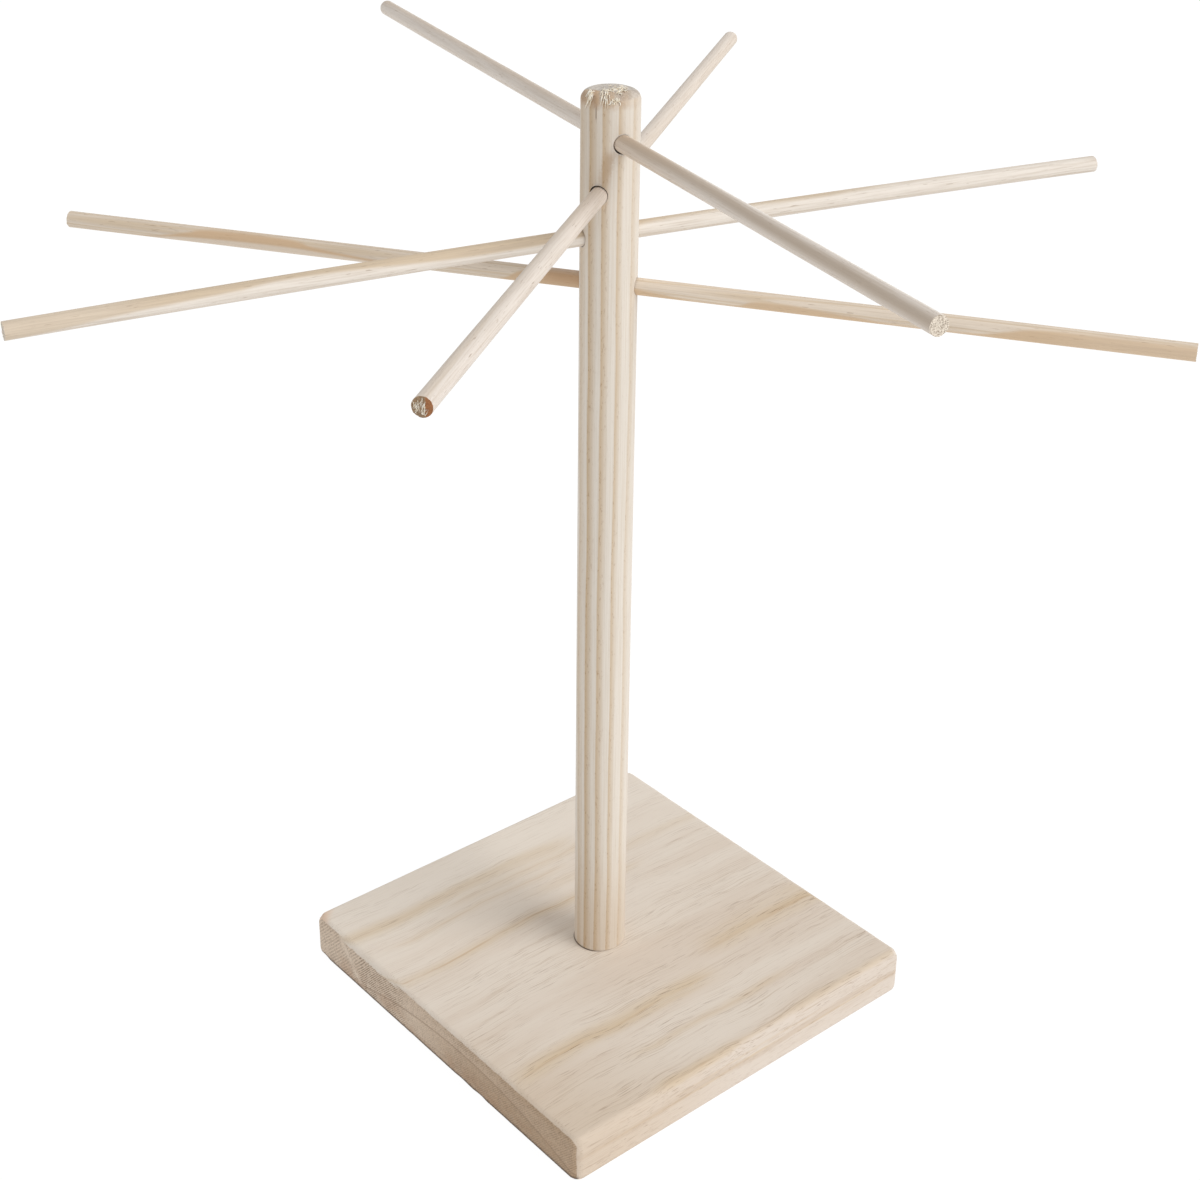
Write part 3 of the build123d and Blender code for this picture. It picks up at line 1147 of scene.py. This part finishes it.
def strands_on_points(writer, given):
    """Real curled strands on the given points, off the XY plane.

    A point's own spin turns its strand from X, its stretch lengthens it, and each is rolled."""
    length, lift = given["Length"], given["Lift"]
    most_roll = 1.1
    curve = writer.out("GeometryNodeCurveQuadraticBezier", {
        "Resolution": 7,
        "Start": writer.together(0.0, 0.0, lift * -0.3),
        "Middle": writer.together(length * 0.5, lift * 0.5, lift),
        "End": writer.together(length, 0.0, 0.0),
    })
    strand = tapered_tube(writer, curve, 5, given["Width"] * 0.5, (0.35, 1.0, 1.0, 0.35))
    strand = writer.out("GeometryNodeSetShadeSmooth", {"Geometry": strand})

    def chance(number, low, high):
        inputs = {2: low, 3: high, "Seed": given["Seed"] + number}
        return writer.out("FunctionNodeRandomValue", inputs, 1)

    def stored(label):
        return writer.out("GeometryNodeInputNamedAttribute", {"Name": label}, data_type="FLOAT")

    def about(axis, angle):
        return writer.out("FunctionNodeAxisAngleToRotation", {"Axis": axis, "Angle": angle})

    spin = about((0, 0, 1), stored("spin"))
    roll = about((1, 0, 0), chance(2, -most_roll, most_roll))
    tufts = writer.out("GeometryNodeInstanceOnPoints", {
        "Points": given["Geometry"], "Instance": strand,
        "Rotation": writer.out("FunctionNodeRotateRotation", {0: spin, 1: roll}, rotation_space="LOCAL"),
        "Scale": writer.together(stored("stretch"), chance(4, 0.6, 1.15), chance(5, 0.5, 1.2)),
    })
    return writer.out("GeometryNodeRealizeInstances", {0: tufts})


def post_fibre_tree():
    """Torn fibres of the post, laid out flat and then wrapped over its rim and down its side.

    On the flat, X is the way down from the crown's edge. Y is how far to the right a place lies,
    seen towards the torn side."""
    more = ("Heading", "Post Radius", "Rim Radius", "Crown")
    sockets = {**strand_inputs, "Float": strand_inputs["Float"] + more}
    writer, given = geometry_tree("Torn Post Fibres", **sockets, Vector=("Rim Centre",))
    down, right, off = writer.out("GeometryNodeInputPosition").parts()
    rim, post, heading = given["Rim Radius"], given["Post Radius"], given["Heading"]
    outer_down = down.most(0.0)
    bend = (outer_down / rim).least(pi / 2)
    straight = outer_down - bend * rim
    reach = off + rim
    edge = post - rim
    radius = reach * bend.sine() + edge
    toward = (radius * radius - right * right).most(0.0).root() + down.least(0.0)

    # On the crown the fibres follow its rise towards the middle
    inside = (edge * edge - (toward * toward + right * right)).most(0.0) / (post * post)
    height = inside * given["Crown"] + (reach * bend.cosine() - straight)
    cosine, sine = heading.cosine(), heading.sine()
    wrapped = writer.together(
        toward * cosine - right * sine, toward * sine + right * cosine, height)
    placed = writer.out("GeometryNodeSetPosition", {
        "Geometry": strands_on_points(writer, given), "Position": wrapped + given["Rim Centre"],
    })
    return close_tree(writer, given, placed)


def end_fibre_tree():
    """Curled fibres that lie every way on a rod's sawn end."""
    writer, given = geometry_tree(
        "Torn End Fibres", **strand_inputs, Vector=("Centre",), Rotation=("Turn",))
    return close_tree(writer, given, set_in_place(writer, given, strands_on_points(writer, given)))


def thread_tree():
    """A ridge that winds up the screw's root, joined to the turned blank."""
    writer, given = geometry_tree(
        "Screw Thread", Geometry=("Geometry",), Float=("Root Radius", "Crest", "Pitch", "Height"),
        Vector=("Start",),
    )
    helix = writer.out("GeometryNodeCurveSpiral", {
        "Resolution": 40, "Rotations": given["Height"] / given["Pitch"],
        "Start Radius": given["Root Radius"], "End Radius": given["Root Radius"],
        "Height": given["Height"],
    })
    thread = tapered_tube(writer, helix, 4, given["Crest"], (0.78, 1.0, 1.0, 0.15))
    placed = writer.out("GeometryNodeTransform", {"Geometry": thread, "Translation": given["Start"]})
    joined = writer.add("GeometryNodeJoinGeometry")
    for part in (placed, given["Geometry"]):
        writer.feed(joined, {0: part})
    whole = Wire(writer, joined.outputs[0])
    return close_tree(writer, given, sharp_by_angle(writer, whole, radians(35)))


def points_mesh(name, roots):
    """Loose points. Each root is its place, the spin of its strand and how far it is stretched."""
    mesh = bpy.data.meshes.new(name)
    mesh.from_pydata([place for place, _, _ in roots], [], [])
    for number, label in ((1, "spin"), (2, "stretch")):
        values = [root[number] for root in roots]
        mesh.attributes.new(label, "FLOAT", "POINT").data.foreach_set("value", values)
    return mesh


# Tufts over the post's rim: fibres, first and last place down from the crown's edge in mm, how
# far right the tuft begins in mm and how much further it runs per mm down, half width in mm,
# spin and its spread in radians, and length of a fibre in mm
post_tufts = (
    (15, -1.6, 3.0, -7.2, -0.40, 0.9, -0.24, 0.20, 6.0),
    (24, -7.6, 2.4, -1.7, -0.12, 1.7, -0.06, 0.18, 6.4),
    (14, -11.0, -1.2, 4.7, -0.13, 1.2, -0.40, 0.14, 4.6),
    (14, -11.0, -1.2, 4.7, -0.13, 1.2, 0.46, 0.16, 4.4),
    (10, -8.0, -4.0, -0.3, 0.0, 1.8, 1.0, 0.50, 3.0),
    (20, 2.4, 4.8, 1.9, 0.0, 2.1, 0.0, 1.10, 2.0),
    (12, -14.0, -4.0, 0.0, 0.0, 5.0, 0.0, 1.20, 2.6),
)


def post_fibre_roots(fibre_length, random):
    """Roots of the post's torn fibres on the flat, in tufts over the rim."""
    roots = []
    for count, first, last, start, drift, half, spin, spread, length in post_tufts:
        for _ in range(count):
            down = random.uniform(first, last)
            right = start + drift * (down - first) + random.uniform(-half, half)
            stretch = length * MM / fibre_length * random.uniform(0.65, 1.1)
            turn = spin + random.uniform(-spread, spread)
            roots.append(((down * MM, right * MM, 0), turn, stretch))
    return roots


def end_fibre_roots(settings, diameter, random):
    """Roots on a rod's end, scattered evenly on its left part. Their fibres lean to its middle."""
    roots = []
    widest = diameter * 0.42
    while len(roots) < settings.end_count:
        reach = widest * sqrt(random.random())
        heading = random.uniform(0, 2 * pi)
        place = (reach * cos(heading), reach * sin(heading), 0)
        if place[0] < settings.end_reach:
            inward = pi / 2 if place[1] < 0 else -pi / 2
            spin = inward + random.uniform(-0.75, 0.45)
            roots.append((place, spin, random.uniform(0.6, 1.3)))
    return roots


class RACK_OT_board(bpy.types.Operator):
    """Makes the square board with its softened edges and the countersunk hole below"""

    bl_idname = "rack.make_board"
    bl_label = "Board"

    def execute(self, context):
        settings = context.scene.rack_board
        piece = object_from(board_mesh(settings), "board")
        mark_end_grain(piece.data, (1, 0, 0))
        shade(piece)
        dress(piece, board_material(settings), "board_pine", "stand", "base")
        return {"FINISHED"}


class RACK_OT_post(bpy.types.Operator):
    """Makes the round post with its four bores, torn rim and hairline crack"""

    bl_idname = "rack.make_post"
    bl_label = "Post"

    def execute(self, context):
        settings = context.scene.rack_post
        piece = object_from(post_mesh(settings), "upright_post")
        bore_radius = (rod_diameter + settings.bore_play) / 2
        cut(piece, [bore_cutter(middle, way, bore_radius) for middle, way in bores(settings)])
        mark_end_grain(piece.data, (0, 0, 1), 0.25, 0.95)
        wear_post(piece.data, settings, bore_radius)
        shade(piece)
        dress(piece, post_material(settings), "post_pine", "stand", "post")
        return {"FINISHED"}


class RACK_OT_rods(bpy.types.Operator):
    """Makes the four loose rods"""

    bl_idname = "rack.make_rods"
    bl_label = "Rods"

    def execute(self, context):
        settings = context.scene.rack_rods
        tree = dowel_tree()
        for name, grain in rod_grains.items():
            centre, way, length, diameter = rod_placement(name)
            material = rod_material(name, settings)
            piece = object_from(bpy.data.meshes.new(name), f"{name}_dowel")
            run_tree(piece, tree, {
                "Radius": diameter / 2, "Length": length, "Centre": centre,
                "Bow": settings.lower_bow if name == "rod_lower" else 0.0,
                "Turn": rod_frame(way).to_euler(), "Sides": settings.sides,
                "Steps": settings.steps, "End Rings": settings.end_rings,
                "Waviness": settings.waviness, "End Roughness": settings.end_roughness,
                "Seed": grain.seed, "Material": material,
            })
            dress(piece, material, "rod_wood", name, name)
        return {"FINISHED"}


class RACK_OT_screw(bpy.types.Operator):
    """Makes the countersunk screw with its cross recess and thread"""

    bl_idname = "rack.make_screw"
    bl_label = "Screw"

    def execute(self, context):
        settings = context.scene.rack_screw
        face, tip = screw_low.z, screw_high.z
        point_start = tip - settings.point_length
        piece = object_from(self.blank(settings, face, tip, point_start), "countersunk_screw")
        cut(piece, [self.recess_arm(settings, face, turn) for turn in (0, pi / 2)])
        material = screw_material(settings)
        thread_overrun = 4 * MM
        run_tree(piece, thread_tree(), {
            "Root Radius": settings.root_radius, "Crest": settings.crest, "Pitch": settings.pitch,
            "Start": (*post_centre.xy, board_high.z),
            "Height": point_start - board_high.z + thread_overrun, "Material": material,
        })
        dress(piece, material, "screw_steel", "stand", "base_screw")
        return {"FINISHED"}

    @staticmethod
    def blank(settings, face, tip, point_start):
        """Turned screw without its recess and thread."""
        head_radius = (screw_high.x - screw_low.x) / 2
        shank, root = settings.shank_radius, settings.root_radius
        rim_break = 0.15 * MM
        neck = face + settings.head_rim + (head_radius - shank) / tan(settings.head_angle / 2)
        thread_start = board_high.z - shank * 2
        profile = (
            (head_radius * 0.5, face), (head_radius - rim_break, face),
            (head_radius, face + rim_break), (head_radius, face + settings.head_rim),
            (shank, neck), (shank, thread_start), (root, thread_start + shank - root),
            (root, point_start), (root * 0.4, tip - 0.8 * MM),
        )
        segments = 48
        turns = [2 * pi * step / segments for step in range(segments)]
        x, y = post_centre.xy
        loops = [[(x + r * cos(turn), y + r * sin(turn), height) for turn in turns]
                 for r, height in profile]
        return skin_loops("screw", loops, poles=((x, y, face), (x, y, tip)))

    @staticmethod
    def recess_arm(settings, face, turn):
        """Cutter for one arm of the cross in the head. It narrows towards its bottom."""
        length, width, start_turn, narrowing = 5.2 * MM, 1.0 * MM, 0.5, 0.35
        centre = post_centre.xy
        place = Matrix.Translation((*centre, face)) @ Matrix.Rotation(turn + start_turn, 4, "Z")
        size = Matrix.Diagonal((length, width, 2 * settings.recess_depth, 1))
        work = bmesh.new()
        bmesh.ops.create_cube(work, size=1, matrix=place @ size)
        for vertex in work.verts:
            if vertex.co.z > face:
                vertex.co.xy = centre + (vertex.co.xy - centre) * narrowing
        return object_from_work(work, "recess arm")


class RACK_OT_fibres(bpy.types.Operator):
    """Lays the torn fibres over the rim of the post and on the end of a rod"""

    bl_idname = "rack.make_fibres"
    bl_label = "Torn Fibres"

    def execute(self, context):
        settings = context.scene.rack_fibres
        post = context.scene.rack_post
        material = fibre_material(settings)
        chance = Random(11)
        sizes = {"Length": settings.length, "Width": settings.width, "Lift": settings.lift,
                 "Seed": 4, "Material": material}
        _, rim_height = post_profile(post)
        roots = post_fibre_roots(settings.length, chance)
        piece = object_from(points_mesh("post fibres", roots), "post_fibres")
        run_tree(piece, post_fibre_tree(), {
            **sizes, "Heading": post.torn_heading, "Post Radius": post_radius,
            "Rim Radius": post.rim_radius, "Crown": post.crown,
            "Rim Centre": (*post_centre.xy, rim_height),
        })
        dress(piece, material, "post_pine", "stand")

        centre, way, length, diameter = rod_placement("rod_upper")
        roots = end_fibre_roots(settings, diameter, chance)
        piece = object_from(points_mesh("rod end fibres", roots), "rod_end_fibres")
        run_tree(piece, end_fibre_tree(), {
            **sizes, "Length": settings.end_length, "Width": settings.end_width,
            "Lift": settings.end_width, "Centre": centre + way * length / 2,
            "Turn": way.to_track_quat("Z", "Y").to_euler(),
        })
        dress(piece, material, "rod_wood", "rod_upper")
        return {"FINISHED"}


class RACK_OT_stage(bpy.types.Operator):
    """Sets the white floor, the soft light and the camera"""

    bl_idname = "rack.make_stage"
    bl_label = "Stage"

    def execute(self, context):
        scene = context.scene
        scene.view_settings.view_transform = "Standard"
        self.floor()
        self.light(scene, scene.rack_stage)
        self.camera(scene, scene.rack_stage)
        return {"FINISHED"}

    @staticmethod
    def white_for_view(writer):
        """One for the rays that should see plain white, zero for the light on the wood."""
        rays = ("Is Camera Ray", "Is Glossy Ray", "Is Transmission Ray")
        return reduce(Wire.most, writer.outs("ShaderNodeLightPath", rays))

    def floor(self):
        half, shade_seen, shade_given = 6.0, 0.46, 0.45
        mesh = bpy.data.meshes.new("floor")
        corners = ((-half, -half, 0), (half, -half, 0), (half, half, 0), (-half, half, 0))
        mesh.from_pydata(corners, [], [(0, 1, 2, 3)])
        floor = object_from(mesh, "floor")
        material, writer, shader = new_material("white table")
        writer.feed(shader, {"Base Color": (0.9, 0.9, 0.9, 1), "Roughness": 0.9})
        glow = writer.out("ShaderNodeEmission", {"Color": (1, 1, 1, 1), "Strength": 1.06})
        share = self.white_for_view(writer) * shade_seen + shade_given
        inputs = {0: share, 1: Wire(writer, shader.outputs[0]), 2: glow}
        output = writer.tree.nodes["Material Output"]
        writer.feed(output, {"Surface": writer.out("ShaderNodeMixShader", inputs)})
        floor.data.materials.append(material)

    def light(self, scene, settings):
        world = bpy.data.worlds.new("studio")
        world.use_nodes = True
        scene.world = world
        writer = NodeWriter(world.node_tree)
        rise = writer.out("ShaderNodeTexCoord", output="Generated").parts()[2]
        glow = rise.fade(0.15, 0.95, settings.fill, settings.fill_above)
        inputs = {0: self.white_for_view(writer), 2: glow, 3: 1.0}
        strength = writer.out("ShaderNodeMix", inputs, data_type="FLOAT")
        background = world.node_tree.nodes["Background"]
        writer.feed(background, {"Color": (1, 1, 1, 1), "Strength": strength})

        lamp = bpy.data.lights.new("key", "SUN")
        lamp.energy = settings.key_strength
        lamp.angle = settings.key_softness
        lamp_object = bpy.data.objects.new("key", lamp)
        scene.collection.objects.link(lamp_object)
        heading, height = settings.key_heading, settings.key_height
        toward = Vector((cos(heading) * cos(height), sin(heading) * cos(height), sin(height)))
        lamp_object.rotation_euler = toward.to_track_quat("Z", "Y").to_euler()

    def camera(self, scene, settings):
        azimuth, elevation, roll = settings.azimuth, settings.elevation, settings.roll
        back = Vector((sin(azimuth) * cos(elevation), -cos(azimuth) * cos(elevation), sin(elevation)))
        right = Vector((cos(azimuth), sin(azimuth), 0))
        down = right.cross(back)
        rolled_right = cos(roll) * right + sin(roll) * down
        rolled_up = sin(roll) * right - cos(roll) * down
        lens = bpy.data.cameras.new("camera")
        lens.sensor_fit = "HORIZONTAL"
        lens.lens = settings.lens
        lens.shift_x = settings.shift_x
        lens.shift_y = settings.shift_y
        camera = bpy.data.objects.new("camera", lens)
        scene.collection.objects.link(camera)
        turn = Matrix((rolled_right, rolled_up, back)).transposed().to_4x4()
        camera.matrix_world = Matrix.Translation(settings.camera_place) @ turn
        scene.camera = camera


class RACK_PT_panel(bpy.types.Panel):
    """Lists the steps that build the drying rack"""

    bl_label = "Drying Rack"
    bl_idname = "RACK_PT_panel"
    bl_space_type = "VIEW_3D"
    bl_region_type = "UI"
    bl_category = "Drying Rack"

    def draw(self, context):
        for operator in operators:
            self.layout.operator(operator.bl_idname)
        for label in setting_groups:
            box = self.layout.box()
            settings = getattr(context.scene, label)
            for name in settings.__annotations__:
                box.prop(settings, name)


setting_groups = {
    "rack_board": RackBoardSettings,
    "rack_post": RackPostSettings,
    "rack_rods": RackRodSettings,
    "rack_screw": RackScrewSettings,
    "rack_fibres": RackFibreSettings,
    "rack_stage": RackStageSettings,
}
operators = (
    RACK_OT_board, RACK_OT_post, RACK_OT_rods, RACK_OT_screw, RACK_OT_fibres, RACK_OT_stage,
)


def register():
    for group in (*setting_groups.values(), *operators, RACK_PT_panel):
        bpy.utils.register_class(group)
    for label, group in setting_groups.items():
        setattr(bpy.types.Scene, label, PointerProperty(type=group))


def unregister():
    for label in setting_groups:
        delattr(bpy.types.Scene, label)
    for group in (RACK_PT_panel, *reversed(operators), *setting_groups.values()):
        bpy.utils.unregister_class(group)


def main():
    register()
    bpy.ops.rack.make_board()
    bpy.ops.rack.make_post()
    bpy.ops.rack.make_rods()
    bpy.ops.rack.make_screw()
    bpy.ops.rack.make_fibres()
    bpy.ops.rack.make_stage()


if __name__ == "__main__":
    main()
